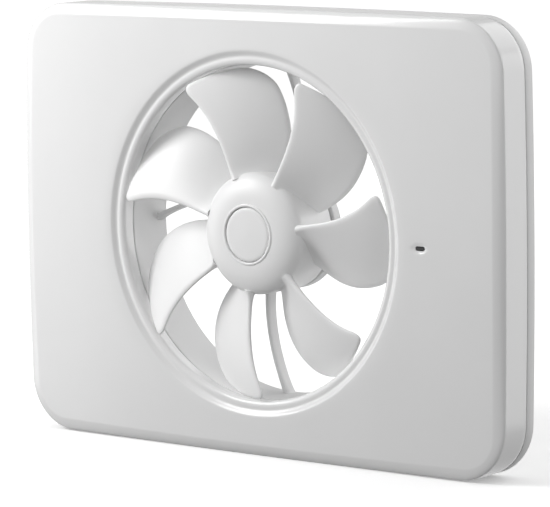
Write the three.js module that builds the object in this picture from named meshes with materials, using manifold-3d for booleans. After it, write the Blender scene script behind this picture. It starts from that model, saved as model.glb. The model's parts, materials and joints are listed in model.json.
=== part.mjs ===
// Wall-mounted axial extractor fan, drawn in millimetres.
// Frame: +Z is up, the front faces -Y, the wall is the plane y = 0, and the origin is on the fan's axis.
import * as THREE from 'three';
import { mergeVertices } from 'three/addons/utils/BufferGeometryUtils.js';
import Module from 'manifold-3d';

const wasm = await Module();
wasm.setup();

// ---------- driving dimensions ----------
const BODY_WIDTH = 228.6;
const BODY_HEIGHT = 168.6;
const CORNER_RADIUS = 19.5;
const CORNER_TIGHTENING = 1.55; // how fast the corner radius shrinks as the outline is inset
const SIDE_BOW = 1.35; // the left and right sides fall back this much towards their ends
const END_BOW = 0.85; // the same for the top and bottom sides
const FACE_Y = -21; // rim of the front face
const FACE_CROWN = 1.5; // the face swells forward this much at its middle
const BEVEL_WIDTH = 4.4;
const BEVEL_DEPTH = 2.6;
const COVER_WALL = 2.2;
const SEAM_Y = -5.3; // rear edge of the cover's sides
const GAP = 0.3; // clearance between touching pieces

const DUCT_RADIUS = 63.2;
const DUCT_WALL = 2.2;
const DUCT_REAR_Y = 5;
const LIP_WIDTH = 6; // band between the face and the duct's bore
const LIP_END_Y = FACE_Y + 6;
const LIP_DIP = 1.3; // the face dips this much to the lip's narrow rim
const PLATE_THICKNESS = 2;
const PLATE_RIM_FRONT_Y = SEAM_Y + 0.4;
const FLANGE_RADIUS = 72;
const FLANGE_FRONT_Y = -4.3;
const FLANGE_BACK_Y = -PLATE_THICKNESS - GAP;

const BLADES = 7;
const TIP_RADIUS = 62.3;
const HUB_RADIUS = 23;
const HUB_BORE = 20.8;
const HUB_NOSE_Y = -23.5;
const HUB_CAP_RADIUS = 10.2;
const ROTOR_RADIUS = 20.4;
const STATOR_RADIUS = 16.2;
const MOTOR_RADIUS = 23;
const MOTOR_FRONT_Y = 0.9;
const SHAFT_RADIUS = 1.5;
const BEARING_RADIUS = 4;
const POLES = 6;

const STRUTS = 4;
const STRUT_WIDTH = 2;
const STRUT_FRONT_Y = -0.8;
const STRUT_BACK_Y = 4.2;
const HUB_REAR_Y = STRUT_FRONT_Y - GAP;

const BOARD = { left: 74, right: 100.4, bottom: -30, top: 50, back: -6, front: -7.6 };
const CASE = { left: 72, right: 102.6, bottom: -53, top: 60.5, front: -16, wall: 1.4 };
const WINDOW = { x: 78.5, z: 0, width: 3.8, height: 1.2 };
const LEAD_RADIUS = 0.9;
const LEAD_Y = -5.8;
const ROUND_STEPS = 64; // facets round the duct
const TURN = 2 * Math.PI;
const degrees = (value) => (value * Math.PI) / 180;

// ---------- solid helpers ----------
const flipWinding = (geometry) => {
  const index = geometry.index.array;
  for (let i = 0; i < index.length; i += 3) {
    [index[i + 1], index[i + 2]] = [index[i + 2], index[i + 1]];
  }
};

const signedVolume = (geometry) => {
  const position = geometry.attributes.position;
  const index = geometry.index.array;
  const [a, b, c] = [new THREE.Vector3(), new THREE.Vector3(), new THREE.Vector3()];
  let volume = 0;
  for (let i = 0; i < index.length; i += 3) {
    a.fromBufferAttribute(position, index[i]);
    b.fromBufferAttribute(position, index[i + 1]);
    c.fromBufferAttribute(position, index[i + 2]);
    volume += a.dot(b.cross(c)) / 6;
  }
  return volume;
};

// Position-only geometry with shared vertices and its faces pointing out.
const closed = (geometry) => {
  geometry.deleteAttribute('normal');
  geometry.deleteAttribute('uv');
  const merged = mergeVertices(geometry, 1e-4);
  if (signedVolume(merged) < 0) flipWinding(merged);
  return merged;
};

const toManifold = (geometry) => {
  const vertProperties = new Float32Array(geometry.attributes.position.array);
  const triVerts = new Uint32Array(geometry.index.array);
  return new wasm.Manifold(new wasm.Mesh({ numProp: 3, vertProperties, triVerts }));
};

const fromManifold = (manifold) => {
  const mesh = manifold.getMesh();
  const geometry = new THREE.BufferGeometry();
  geometry.setAttribute('position', new THREE.BufferAttribute(new Float32Array(mesh.vertProperties), 3));
  geometry.setIndex(new THREE.BufferAttribute(new Uint32Array(mesh.triVerts), 1));
  return geometry;
};

const combine = (base, method, pieces) =>
  fromManifold(pieces.reduce((sum, piece) => sum[method](toManifold(piece)), toManifold(base)));
const cut = (base, ...pieces) => combine(base, 'subtract', pieces);
const join = (base, ...pieces) => combine(base, 'add', pieces);

// Solid of revolution about the fan's axis, from a closed outline of [radius, y] points.
const turned = (outline, segments = 32) => {
  const points = outline.map(([radius, y]) => new THREE.Vector2(radius, y));
  if (outline[0][0] > 0) points.push(points[0].clone());
  return closed(new THREE.LatheGeometry(points, segments));
};

const ring = (inner, outer, backY, frontY, segments = 32) =>
  turned([[inner, backY], [outer, backY], [outer, frontY], [inner, frontY]], segments);

const disc = (radius, backY, frontY, segments = 24) =>
  turned([[0, backY], [radius, backY], [radius, frontY], [0, frontY]], segments);

const peg = (radius, backY, frontY, x, z, segments = 12) =>
  disc(radius, backY, frontY, segments).translate(x, 0, z);

const block = (left, right, bottom, top, backY, frontY) =>
  closed(
    new THREE.BoxGeometry(right - left, backY - frontY, top - bottom).translate(
      (left + right) / 2,
      (backY + frontY) / 2,
      (bottom + top) / 2,
    ),
  );

// A flat outline in the X-Z plane, extruded from backY forward to frontY.
const prism = (shape, backY, frontY, curveSegments = 8) => {
  const options = { depth: backY - frontY, bevelEnabled: false, curveSegments };
  return closed(new THREE.ExtrudeGeometry(shape, options).rotateX(Math.PI / 2).translate(0, backY, 0));
};

// Closed ring-shaped skin through loops of equal length: the last loop joins the first.
const ringLoft = (loops) => {
  const count = loops[0].length;
  const index = [];
  loops.forEach((_, row) => {
    const next = (row + 1) % loops.length;
    for (let i = 0; i < count; i += 1) {
      const j = (i + 1) % count;
      const [a, b, c, d] = [row * count + i, row * count + j, next * count + j, next * count + i];
      index.push(a, b, c, a, c, d);
    }
  });
  const geometry = new THREE.BufferGeometry();
  const positions = new Float32Array(loops.flat().flatMap((point) => point.toArray()));
  geometry.setAttribute('position', new THREE.BufferAttribute(positions, 3));
  geometry.setIndex(index);
  return closed(geometry);
};

// ---------- the body's outline ----------
// Rounded rectangle with bowed sides, inset by a distance, as [x, z] points.
const bodyOutline = (inset) => {
  const halfWidth = BODY_WIDTH / 2 - inset;
  const halfHeight = BODY_HEIGHT / 2 - inset;
  const corner = Math.max(CORNER_RADIUS - inset * CORNER_TIGHTENING, 2);
  const [acrossSteps, cornerSteps, upSteps] = [12, 5, 8];
  const points = [];
  const quarter = (signX, signZ, startAngle) => {
    for (let i = 0; i < cornerSteps; i += 1) {
      const angle = startAngle + (i / cornerSteps) * (Math.PI / 2);
      const x = signX * (halfWidth - corner) + corner * Math.cos(angle);
      const z = signZ * (halfHeight - corner) + corner * Math.sin(angle);
      points.push([x, z]);
    }
  };
  const straight = (fromX, fromZ, toX, toZ, steps) => {
    for (let i = 0; i < steps; i += 1) {
      const along = i / steps;
      points.push([fromX + (toX - fromX) * along, fromZ + (toZ - fromZ) * along]);
    }
  };
  const [flatX, flatZ] = [halfWidth - corner, halfHeight - corner];
  straight(halfWidth, -flatZ, halfWidth, flatZ, upSteps);
  quarter(1, 1, 0);
  straight(flatX, halfHeight, -flatX, halfHeight, acrossSteps);
  quarter(-1, 1, Math.PI / 2);
  straight(-halfWidth, flatZ, -halfWidth, -flatZ, upSteps);
  quarter(-1, -1, Math.PI);
  straight(-flatX, -halfHeight, flatX, -halfHeight, acrossSteps);
  quarter(1, -1, -Math.PI / 2);
  return points.map(([x, z]) => {
    const bowX = SIDE_BOW * (z / halfHeight) ** 2 * (x / halfWidth);
    const bowZ = END_BOW * (x / halfWidth) ** 2 * (z / halfHeight);
    return [x - bowX, z - bowZ];
  });
};

const bodyShape = (inset) => new THREE.Shape(bodyOutline(inset).map(([x, z]) => new THREE.Vector2(x, z)));

const crownAt = (x, z) => {
  const halfWidth = BODY_WIDTH / 2 - BEVEL_WIDTH;
  const halfHeight = BODY_HEIGHT / 2 - BEVEL_WIDTH;
  return -FACE_CROWN * (1 - (x / halfWidth) ** 2 - (z / halfHeight) ** 2);
};

const outlineLoop = (inset, y, crowned = false) =>
  bodyOutline(inset).map(([x, z]) => new THREE.Vector3(x, y + (crowned ? crownAt(x, z) : 0), z));

// A loop on the circle of a radius, each point in line with its point on the body's outline.
const roundLoop = (radius, y, crowned = false) =>
  bodyOutline(BEVEL_WIDTH).map(([x, z]) => {
    const scale = radius / Math.hypot(x, z);
    const [px, pz] = [x * scale, z * scale];
    return new THREE.Vector3(px, y + (crowned ? crownAt(px, pz) : 0), pz);
  });

const between = (loopA, loopB, share, y) =>
  loopA.map((point, i) => {
    const middle = point.clone().lerp(loopB[i], share);
    middle.y = y + crownAt(middle.x, middle.z);
    return middle;
  });

// ---------- front cover ----------
const coverShell = () => {
  const bevelSteps = 3;
  const bevelLoops = Array.from({ length: bevelSteps + 1 }, (_, i) => {
    const swing = (i / bevelSteps) * (Math.PI / 2);
    const inset = BEVEL_WIDTH * (1 - Math.cos(swing) ** 1.2);
    return outlineLoop(inset, FACE_Y + BEVEL_DEPTH * (1 - Math.sin(swing)));
  });
  const faceRim = outlineLoop(BEVEL_WIDTH, FACE_Y, true);
  bevelLoops[bevelSteps] = faceRim;
  const rollStart = roundLoop(DUCT_RADIUS + LIP_WIDTH, FACE_Y, true);
  // The rim rounds over into the duct: radius beyond the bore, and depth behind the face.
  const rimProfile = [
    [3.2, LIP_DIP],
    [2, LIP_DIP - 0.15],
    [0.6, LIP_DIP + 0.35],
    [0, LIP_DIP + 1.4],
  ];
  const rollLoops = rimProfile.map(([beyond, depth]) =>
    roundLoop(DUCT_RADIUS + beyond, 0).map(
      (point, k) => new THREE.Vector3(point.x, rollStart[k].y + depth, point.z),
    ),
  );
  const innerFaceY = FACE_Y + COVER_WALL;
  const innerRim = outlineLoop(BEVEL_WIDTH + 1.6, innerFaceY, true);
  const innerRollStart = roundLoop(DUCT_RADIUS + LIP_WIDTH + 0.6, innerFaceY, true);
  return ringLoft([
    outlineLoop(0, SEAM_Y),
    ...bevelLoops,
    between(faceRim, rollStart, 0.45, FACE_Y),
    rollStart,
    ...rollLoops,
    roundLoop(DUCT_RADIUS, LIP_END_Y),
    roundLoop(DUCT_RADIUS + DUCT_WALL, LIP_END_Y),
    roundLoop(DUCT_RADIUS + DUCT_WALL, LIP_END_Y - 1.6),
    innerRollStart,
    between(innerRim, innerRollStart, 0.5, innerFaceY),
    innerRim,
    outlineLoop(COVER_WALL, FACE_Y + BEVEL_DEPTH + 2.6),
    outlineLoop(COVER_WALL, SEAM_Y),
  ]);
};

const stadium = (width, height) => {
  const shape = new THREE.Shape();
  const flat = (width - height) / 2;
  shape.absarc(flat, 0, height / 2, -Math.PI / 2, Math.PI / 2);
  shape.absarc(-flat, 0, height / 2, Math.PI / 2, (3 * Math.PI) / 2);
  return shape;
};

// The plate's catches, and the cover's tabs that grip them from outside.
const CATCH = { x: 105.3, z: 34, halfWidth: 1.2, halfHeight: 5, front: -12 };
const TAB = { x: CATCH.x + 2.6, halfWidth: 0.7, halfHeight: 4, back: -7.5 };
const catchPlaces = [-1, 1].flatMap((side) => [-CATCH.z, CATCH.z].map((z) => [side, z]));

const frontCover = () => {
  const tabs = catchPlaces.map(([side, z]) => {
    const x = side * TAB.x;
    const [left, right] = [x - TAB.halfWidth, x + TAB.halfWidth];
    return block(left, right, z - TAB.halfHeight, z + TAB.halfHeight, TAB.back, FACE_Y + COVER_WALL - 0.6);
  });
  const hole = prism(stadium(WINDOW.width + 2 * GAP, WINDOW.height + 2 * GAP), -15, -30);
  hole.translate(WINDOW.x, 0, WINDOW.z);
  return cut(join(coverShell(), ...tabs), hole);
};

const sensorWindow = () =>
  prism(stadium(WINDOW.width, WINDOW.height), FACE_Y + 1.2, FACE_Y - 0.6).translate(WINDOW.x, 0, WINDOW.z);

// ---------- back plate ----------
// Each wall screw's head rests on a low round pad.
const WALL_SCREW = { x: 62, z: 70, holeRadius: 2.4, padRadius: 6.5, padFront: -2.8 };
const wallScrewPlaces = [-1, 1].flatMap((sideX) =>
  [-1, 1].map((sideZ) => [sideX * WALL_SCREW.x, sideZ * WALL_SCREW.z]),
);
const flangeScrewAngles = [45, 135, 225, 315].map(degrees);
const FLANGE_SCREW_RADIUS = 68.8;
const flangeScrewPlaces = flangeScrewAngles.map((angle) => [
  FLANGE_SCREW_RADIUS * Math.cos(angle),
  FLANGE_SCREW_RADIUS * Math.sin(angle),
]);
const GROMMET = { x: 89, z: -70, radius: 5 };
const CLAMP = { z: -59.5, halfWidth: 11, halfHeight: 3, back: -5.7, front: -8.2, screwOffset: 8.2 };
const CASE_SCREW = { x: 89, inset: 4.9, postRadius: 3, postFront: -14 };
const caseScrewPlaces = [
  [CASE_SCREW.x, CASE.top - CASE_SCREW.inset],
  [CASE_SCREW.x, CASE.bottom + CASE_SCREW.inset],
];
const clampScrewPlaces = [-1, 1].map((side) => [GROMMET.x + side * CLAMP.screwOffset, CLAMP.z]);
const PILOT_RADIUS = 1.3; // holes that screws cut their thread into
const FLANGE_HOLE_RADIUS = 1.5;
const RIB = { inner: 76, outer: 108, z: 70, sideZ: 20, width: 1.4, front: -4.4 };
const ROOT_Y = -1; // posts, ribs and catches start inside the plate

const throughPlate = (radius, [x, z], segments) => peg(radius, 2, -8, x, z, segments);

const backPlate = () => {
  const plate = prism(bodyShape(0), 0, -PLATE_THICKNESS);
  const rim = cut(
    prism(bodyShape(0), ROOT_Y, PLATE_RIM_FRONT_Y),
    prism(bodyShape(COVER_WALL), 1, PLATE_RIM_FRONT_Y - 1),
  );
  const { padRadius, padFront } = WALL_SCREW;
  const pads = wallScrewPlaces.map(([x, z]) => peg(padRadius, ROOT_Y, padFront, x, z, 24));
  const boardInset = 4;
  const standoffs = [BOARD.left + boardInset, BOARD.right - boardInset].flatMap((x) =>
    [BOARD.bottom + boardInset, BOARD.top - boardInset].map((z) => peg(2.4, ROOT_Y, BOARD.back + GAP, x, z)),
  );
  const casePosts = caseScrewPlaces.map(([x, z]) =>
    peg(CASE_SCREW.postRadius, ROOT_Y, CASE_SCREW.postFront, x, z),
  );
  const catches = catchPlaces.map(([side, z]) => {
    const x = side * CATCH.x;
    const [left, right] = [x - CATCH.halfWidth, x + CATCH.halfWidth];
    return block(left, right, z - CATCH.halfHeight, z + CATCH.halfHeight, ROOT_Y, CATCH.front);
  });
  const clampPosts = clampScrewPlaces.map(([x, z]) => peg(2.6, ROOT_Y, CLAMP.back + GAP, x, z));
  const rib = (left, right, z) => block(left, right, z, z + RIB.width, ROOT_Y, RIB.front);
  const ribs = [
    rib(-RIB.outer, -RIB.inner, RIB.z),
    rib(RIB.inner, RIB.outer, RIB.z),
    rib(-RIB.outer, -RIB.inner, RIB.sideZ - RIB.width / 2),
    rib(-RIB.outer, -RIB.inner, -RIB.sideZ - RIB.width / 2),
  ];
  const solid = join(plate, rim, ...pads, ...standoffs, ...casePosts, ...catches, ...clampPosts, ...ribs);
  const holes = [
    disc(DUCT_RADIUS + DUCT_WALL + GAP, 2, -8, ROUND_STEPS),
    ...wallScrewPlaces.map((place) => throughPlate(WALL_SCREW.holeRadius, place)),
    ...flangeScrewPlaces.map((place) => throughPlate(FLANGE_HOLE_RADIUS, place)),
    ...caseScrewPlaces.map(([x, z]) => peg(PILOT_RADIUS, -6, -20, x, z)),
    ...clampScrewPlaces.map(([x, z]) => peg(PILOT_RADIUS, -1.2, -8, x, z)),
    throughPlate(GROMMET.radius, [GROMMET.x, GROMMET.z], 16),
  ];
  return cut(solid, ...holes);
};

// ---------- duct ring, and the motor carrier with its struts ----------
// A strut's middle line: it leans back round the axis towards the duct wall.
const strutAngle = (radius) => {
  const share = (radius - MOTOR_RADIUS) / (DUCT_RADIUS - MOTOR_RADIUS);
  return degrees(-112 + 24.6 * share - 3.2 * share ** 2);
};

const strutShape = () => {
  const steps = 5;
  const [low, high] = [MOTOR_RADIUS - GAP, DUCT_RADIUS - GAP];
  const edge = (side) =>
    Array.from({ length: steps + 1 }, (_, i) => {
      const radius = low + ((high - low) * i) / steps;
      const angle = strutAngle(radius) + (side * STRUT_WIDTH) / 2 / radius;
      return new THREE.Vector2(radius * Math.cos(angle), radius * Math.sin(angle));
    });
  return new THREE.Shape([...edge(-1), ...edge(1).reverse()]);
};

const strutTurn = (number) => (number * TURN) / STRUTS;

const ductRing = () => {
  const tubeFrontY = LIP_END_Y + 0.4;
  const tube = ring(DUCT_RADIUS, DUCT_RADIUS + DUCT_WALL, DUCT_REAR_Y, tubeFrontY, ROUND_STEPS);
  const flange = ring(DUCT_RADIUS + 1, FLANGE_RADIUS, FLANGE_BACK_Y, FLANGE_FRONT_Y, ROUND_STEPS);
  const leadHole = closed(new THREE.CylinderGeometry(LEAD_RADIUS + 0.4, LEAD_RADIUS + 0.4, 12, 12));
  leadHole.rotateZ(Math.PI / 2).translate(DUCT_RADIUS + 1, LEAD_Y, 0);
  const screwHoles = flangeScrewPlaces.map((place) => throughPlate(FLANGE_HOLE_RADIUS, place));
  return cut(join(tube, flange), leadHole, ...screwHoles);
};

const motorCarrier = () => {
  const tubeBore = BEARING_RADIUS + 0.2;
  const tubeOutside = tubeBore + 1.8;
  const tubeFrontY = -15.5;
  const floorY = MOTOR_FRONT_Y + 2;
  const rimInside = MOTOR_RADIUS - 1.6;
  const motorMount = turned([
    [tubeBore, floorY],
    [rimInside, floorY],
    [rimInside, DUCT_REAR_Y],
    [MOTOR_RADIUS, DUCT_REAR_Y],
    [MOTOR_RADIUS, MOTOR_FRONT_Y],
    [tubeOutside, MOTOR_FRONT_Y],
    [tubeOutside, tubeFrontY],
    [tubeBore, tubeFrontY],
  ]);
  const struts = Array.from({ length: STRUTS }, (_, i) =>
    prism(strutShape(), STRUT_BACK_Y, STRUT_FRONT_Y).rotateY(-strutTurn(i)),
  );
  return join(motorMount, ...struts);
};

// ---------- impeller ----------
// A blade's two edges as it runs from the hub (share 0) to its tip (share 1).
const leadingEdge = (share) => ({
  angle: degrees(114.8 - 7.8 * share + 14.8 * share ** 2),
  y: FACE_Y + 0.4 - 1.1 * share ** 2,
});
const trailingEdge = (share) => ({
  angle: degrees(73 - 4 * share + 23.5 * share ** 2),
  y: -5.3 - 9.8 * share + 6.7 * share ** 2,
});
const BLADE_ROOT_RADIUS = 21.5;
const BLADE_ROOT_THICKNESS = 2;
const BLADE_TIP_THICKNESS = 1.3;

// How much of the chord is rounded away at the tip's two corners.
const cornerLoss = (share, start, amount) => {
  const along = Math.max(0, (share - start) / (1 - start));
  return amount * (1 - Math.sqrt(Math.max(0, 1 - along ** 2)));
};

const bladePoint = (share, chord) => {
  const lead = leadingEdge(share);
  const trail = trailingEdge(share);
  const from = cornerLoss(share, 0.88, 0.12);
  const to = 1 - cornerLoss(share, 0.8, 0.28);
  const along = from + (to - from) * chord;
  const cambered = along + 0.35 * (along ** 2 - along);
  const radius = BLADE_ROOT_RADIUS + (TIP_RADIUS - BLADE_ROOT_RADIUS) * share;
  const angle = lead.angle + (trail.angle - lead.angle) * along;
  const y = lead.y + (trail.y - lead.y) * cambered;
  return new THREE.Vector3(radius * Math.cos(angle), y, radius * Math.sin(angle));
};

const bladeNormal = (share, chord) => {
  const step = 1e-3;
  const [s0, s1] = [Math.max(share - step, 0), Math.min(share + step, 0.999)];
  const [c0, c1] = [Math.max(chord - step, 0), Math.min(chord + step, 1)];
  const alongSpan = bladePoint(s1, chord).sub(bladePoint(s0, chord));
  const alongChord = bladePoint(Math.min(share, 0.999), c1).sub(bladePoint(Math.min(share, 0.999), c0));
  return alongSpan.cross(alongChord).normalize();
};

const blade = () => {
  const [spanSteps, chordSteps] = [8, 5];
  const spans = Array.from({ length: spanSteps + 1 }, (_, i) => Math.sin(((i / spanSteps) * Math.PI) / 2));
  const positions = [];
  const index = [];
  for (const side of [-1, 1]) {
    for (const share of spans) {
      const thickness = BLADE_ROOT_THICKNESS + (BLADE_TIP_THICKNESS - BLADE_ROOT_THICKNESS) * share;
      for (let j = 0; j <= chordSteps; j += 1) {
        const chord = j / chordSteps;
        const thin = 0.35 + 0.65 * Math.sin(Math.PI * Math.min(Math.max(chord, 0.08), 0.92)) ** 0.6;
        const offset = bladeNormal(share, chord).multiplyScalar((side * thickness * thin) / 2);
        positions.push(...bladePoint(share, chord).add(offset).toArray());
      }
    }
  }
  const row = chordSteps + 1;
  const layer = row * (spanSteps + 1);
  const quad = (a, b, c, d) => index.push(a, b, c, a, c, d);
  for (let i = 0; i < spanSteps; i += 1) {
    for (let j = 0; j < chordSteps; j += 1) {
      const a = i * row + j;
      quad(a, a + 1, a + row + 1, a + row);
      quad(layer + a, layer + a + row, layer + a + row + 1, layer + a + 1);
    }
    const [near, far] = [i * row, i * row + chordSteps];
    quad(near, near + row, layer + near + row, layer + near);
    quad(far, layer + far, layer + far + row, far + row);
  }
  for (let j = 0; j < chordSteps; j += 1) {
    const tip = spanSteps * row + j;
    quad(j, layer + j, layer + j + 1, j + 1);
    quad(tip, tip + 1, layer + tip + 1, layer + tip);
  }
  const geometry = new THREE.BufferGeometry();
  geometry.setAttribute('position', new THREE.BufferAttribute(new Float32Array(positions), 3));
  geometry.setIndex(index);
  return closed(geometry);
};

const impeller = () => {
  const capSeat = HUB_CAP_RADIUS + GAP;
  const hub = turned(
    [
      [0, HUB_NOSE_Y + 1.3],
      [capSeat, HUB_NOSE_Y + 1.3],
      [capSeat, HUB_NOSE_Y + 0.1],
      [15.5, HUB_NOSE_Y + 0.8],
      [19.3, HUB_NOSE_Y + 1.9],
      [21.7, HUB_NOSE_Y + 3.3],
      [HUB_RADIUS, HUB_NOSE_Y + 5],
      [HUB_RADIUS, HUB_REAR_Y],
      [HUB_BORE, HUB_REAR_Y],
      [HUB_BORE, -19.2],
      [19.8, -20.2],
      [0, -20.2],
    ],
    40,
  );
  const blades = Array.from({ length: BLADES }, (_, i) => blade().rotateY((i * TURN) / BLADES));
  return join(hub, ...blades);
};

const hubCap = () =>
  turned([
    [0, HUB_NOSE_Y + 1],
    [HUB_CAP_RADIUS, HUB_NOSE_Y + 1],
    [HUB_CAP_RADIUS, HUB_NOSE_Y],
    [HUB_CAP_RADIUS - 0.7, HUB_NOSE_Y - 0.25],
    [0, HUB_NOSE_Y - 0.4],
  ]);

// ---------- motor ----------
const rotorCup = () => {
  const inner = ROTOR_RADIUS - 0.9;
  const bore = SHAFT_RADIUS + GAP;
  return turned([
    [bore, -19.4],
    [ROTOR_RADIUS, -19.4],
    [ROTOR_RADIUS, -3],
    [inner, -3],
    [inner, -18.5],
    [bore, -18.5],
  ]);
};

const CORE = { yokeRadius: 8.5, boreRadius: 6.3, back: -5.5, front: -14.5 };

const statorCore = () => {
  const yoke = new THREE.Shape();
  yoke.absarc(0, 0, CORE.yokeRadius, 0, TURN);
  const toothSpan = degrees(22);
  const [neckHalf, tipInner] = [1.6, 14.3];
  const teeth = Array.from({ length: POLES }, (_, i) => {
    const neck = block(CORE.yokeRadius - 1, tipInner + 1, -neckHalf, neckHalf, CORE.back, CORE.front);
    const tip = new THREE.Shape();
    tip.absarc(0, 0, STATOR_RADIUS, -toothSpan, toothSpan);
    tip.absarc(0, 0, tipInner, toothSpan, -toothSpan, true);
    return join(neck, prism(tip, CORE.back, CORE.front, 3)).rotateY((i * TURN) / POLES);
  });
  return cut(join(prism(yoke, CORE.back, CORE.front, 6), ...teeth), disc(CORE.boreRadius, 0, -20));
};

// A winding round one tooth, clear of the core by the gap.
const coil = (number) => {
  const outer = block(9, 13.7, -3.9, 3.9, -3.3, -16.7);
  const bore = block(8, 15, -1.9, 1.9, CORE.back + GAP, CORE.front - GAP);
  return cut(outer, bore).rotateY((number * TURN) / POLES);
};

// The lead lies in front of the strut on the right and crosses the duct wall to the board.
const motorLead = () => {
  const strutAngleAtRight = (radius) => strutAngle(radius) + Math.PI / 2;
  const besideStrutY = STRUT_FRONT_Y - GAP - LEAD_RADIUS;
  const alongStrut = [26, 34, 42, 50, 56].map((radius) => {
    const angle = strutAngleAtRight(radius);
    return new THREE.Vector3(radius * Math.cos(angle), besideStrutY, radius * Math.sin(angle));
  });
  const path = new THREE.CatmullRomCurve3([
    ...alongStrut,
    new THREE.Vector3(60.2, LEAD_Y + 1.2, -0.6),
    new THREE.Vector3(63.5, LEAD_Y, 0),
    new THREE.Vector3(69, LEAD_Y, 0),
    new THREE.Vector3(BOARD.left - 0.4, LEAD_Y, 0),
  ]);
  const section = new THREE.Shape();
  section.absarc(0, 0, LEAD_RADIUS, 0, TURN);
  return closed(new THREE.ExtrudeGeometry(section, { steps: 20, extrudePath: path, curveSegments: 4 }));
};

// ---------- electronics ----------
const electronicsCase = () => {
  const outer = block(CASE.left, CASE.right, CASE.bottom, CASE.top, -PLATE_THICKNESS - GAP, CASE.front);
  const inner = block(
    CASE.left + CASE.wall,
    CASE.right - CASE.wall,
    CASE.bottom + CASE.wall,
    CASE.top - CASE.wall,
    0,
    CASE.front + CASE.wall,
  );
  const leadHole = closed(new THREE.CylinderGeometry(LEAD_RADIUS + 0.4, LEAD_RADIUS + 0.4, 6, 12));
  leadHole.rotateZ(Math.PI / 2).translate(CASE.left + 1, LEAD_Y, 0);
  const holes = [
    peg(2.4, -10, -20, WINDOW.x, WINDOW.z),
    ...caseScrewPlaces.map(([x, z]) => peg(PILOT_RADIUS, -10, -20, x, z)),
  ];
  return cut(outer, inner, leadHole, ...holes);
};

const screw = (headRadius, headY, headDepth, shankRadius, shankLength) =>
  turned(
    [
      [0, headY + shankLength],
      [shankRadius * 0.5, headY + shankLength],
      [shankRadius, headY + shankLength - shankRadius],
      [shankRadius, headY],
      [headRadius, headY],
      [headRadius * 0.9, headY - headDepth * 0.7],
      [headRadius * 0.55, headY - headDepth],
      [0, headY - headDepth],
    ],
    10,
  );

const TERMINAL = { left: 76, right: 99, bottom: -44.5, top: -32.5, front: -13.2, ways: 3 };
const terminalPlaces = Array.from({ length: TERMINAL.ways }, (_, i) => {
  const pitch = (TERMINAL.right - TERMINAL.left) / TERMINAL.ways;
  return [TERMINAL.left + pitch * (i + 0.5), (TERMINAL.bottom + TERMINAL.top) / 2];
});

const terminalBlock = () => {
  const body = block(
    TERMINAL.left,
    TERMINAL.right,
    TERMINAL.bottom,
    TERMINAL.top,
    -PLATE_THICKNESS - GAP,
    TERMINAL.front,
  );
  const wells = terminalPlaces.map(([x, z]) => peg(2.5, -8.6, -20, x, z));
  const mouths = terminalPlaces.map(([x]) => block(x - 2, x + 2, TERMINAL.bottom - 1, -39, -4.4, -7.6));
  return cut(body, ...wells, ...mouths);
};

const cableClamp = () => {
  const bar = block(
    GROMMET.x - CLAMP.halfWidth,
    GROMMET.x + CLAMP.halfWidth,
    CLAMP.z - CLAMP.halfHeight,
    CLAMP.z + CLAMP.halfHeight,
    CLAMP.back,
    CLAMP.front,
  );
  const holes = clampScrewPlaces.map(([x, z]) => peg(1.6, -4, -10, x, z));
  return cut(bar, ...holes);
};

const cableGrommet = () => {
  const hole = GROMMET.radius - GAP;
  return turned(
    [
      [2.6, -0.2],
      [hole, -0.2],
      [hole, -2.3],
      [hole + 1.6, -2.3],
      [hole + 1.6, -3.6],
      [2.6, -4.6],
    ],
    16,
  ).translate(GROMMET.x, 0, GROMMET.z);
};

// Box-shaped components that stand on the board.
const BOARD_BLOCKS = {
  transformer: { left: 78, right: 93, bottom: 28, top: 42, front: -14.2 },
  relay: { left: 89.5, right: 99, bottom: -4, top: 12, front: -14 },
  processor: { left: 84, right: 91, bottom: -22, top: -15, front: -9.4 },
  humidity_sensor: { left: 77, right: 80, bottom: -14, top: -11, front: -9.2 },
};

// Round components that lie along the board.
const BOARD_CANS = {
  capacitor: { radius: 3, length: 14, x: 96.8, y: -11.2, z: 34 },
  fuse: { radius: 2.2, length: 12, x: 80, y: -10.4, z: 17 },
};

const boardBlock = ({ left, right, bottom, top, front }) =>
  block(left, right, bottom, top, BOARD.front - GAP, front);

const boardCan = ({ radius, length, x, y, z }) =>
  closed(new THREE.CylinderGeometry(radius, radius, length, 20).rotateX(Math.PI / 2).translate(x, y, z));

const lightGuide = () => peg(1.9, BOARD.front - GAP, FACE_Y + 2.4, WINDOW.x, WINDOW.z, 20);

// ---------- materials ----------
const finish = (color, roughness, metalness = 0) =>
  new THREE.MeshStandardMaterial({ color, roughness, metalness });
const glossWhite = finish(0xf4f5f6, 0.22);
const satinWhite = finish(0xeceded, 0.45);
const darkLens = finish(0x17181b, 0.1);
const clearGuide = finish(0xdfe8ee, 0.08);
const steel = finish(0xb5b8bc, 0.35, 1);
const lamination = finish(0x6f7275, 0.5, 1);
const ferrite = finish(0x38393c, 0.7);
const copper = finish(0xb8693a, 0.35, 1);
const boardGreen = finish(0x1f5b3a, 0.5);
const blackPlastic = finish(0x202124, 0.5);
const yellowPlastic = finish(0xd9b13a, 0.5);
const greyRubber = finish(0x8b8e91, 0.8);
const whiteCable = finish(0xd8d9da, 0.55);
const greyPlastic = finish(0xb9bcbf, 0.5);

// ---------- assembly ----------
const group = new THREE.Group();
const add = (name, geometry, material) => {
  const mesh = new THREE.Mesh(geometry, material);
  mesh.name = name;
  group.add(mesh);
};

add('front_cover', frontCover(), glossWhite);
add('sensor_window', sensorWindow(), darkLens);
add('back_plate', backPlate(), satinWhite);
add('duct_ring', ductRing(), satinWhite);
add('motor_carrier', motorCarrier(), satinWhite);
add('impeller', impeller(), glossWhite);
add('hub_cap', hubCap(), glossWhite);

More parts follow.
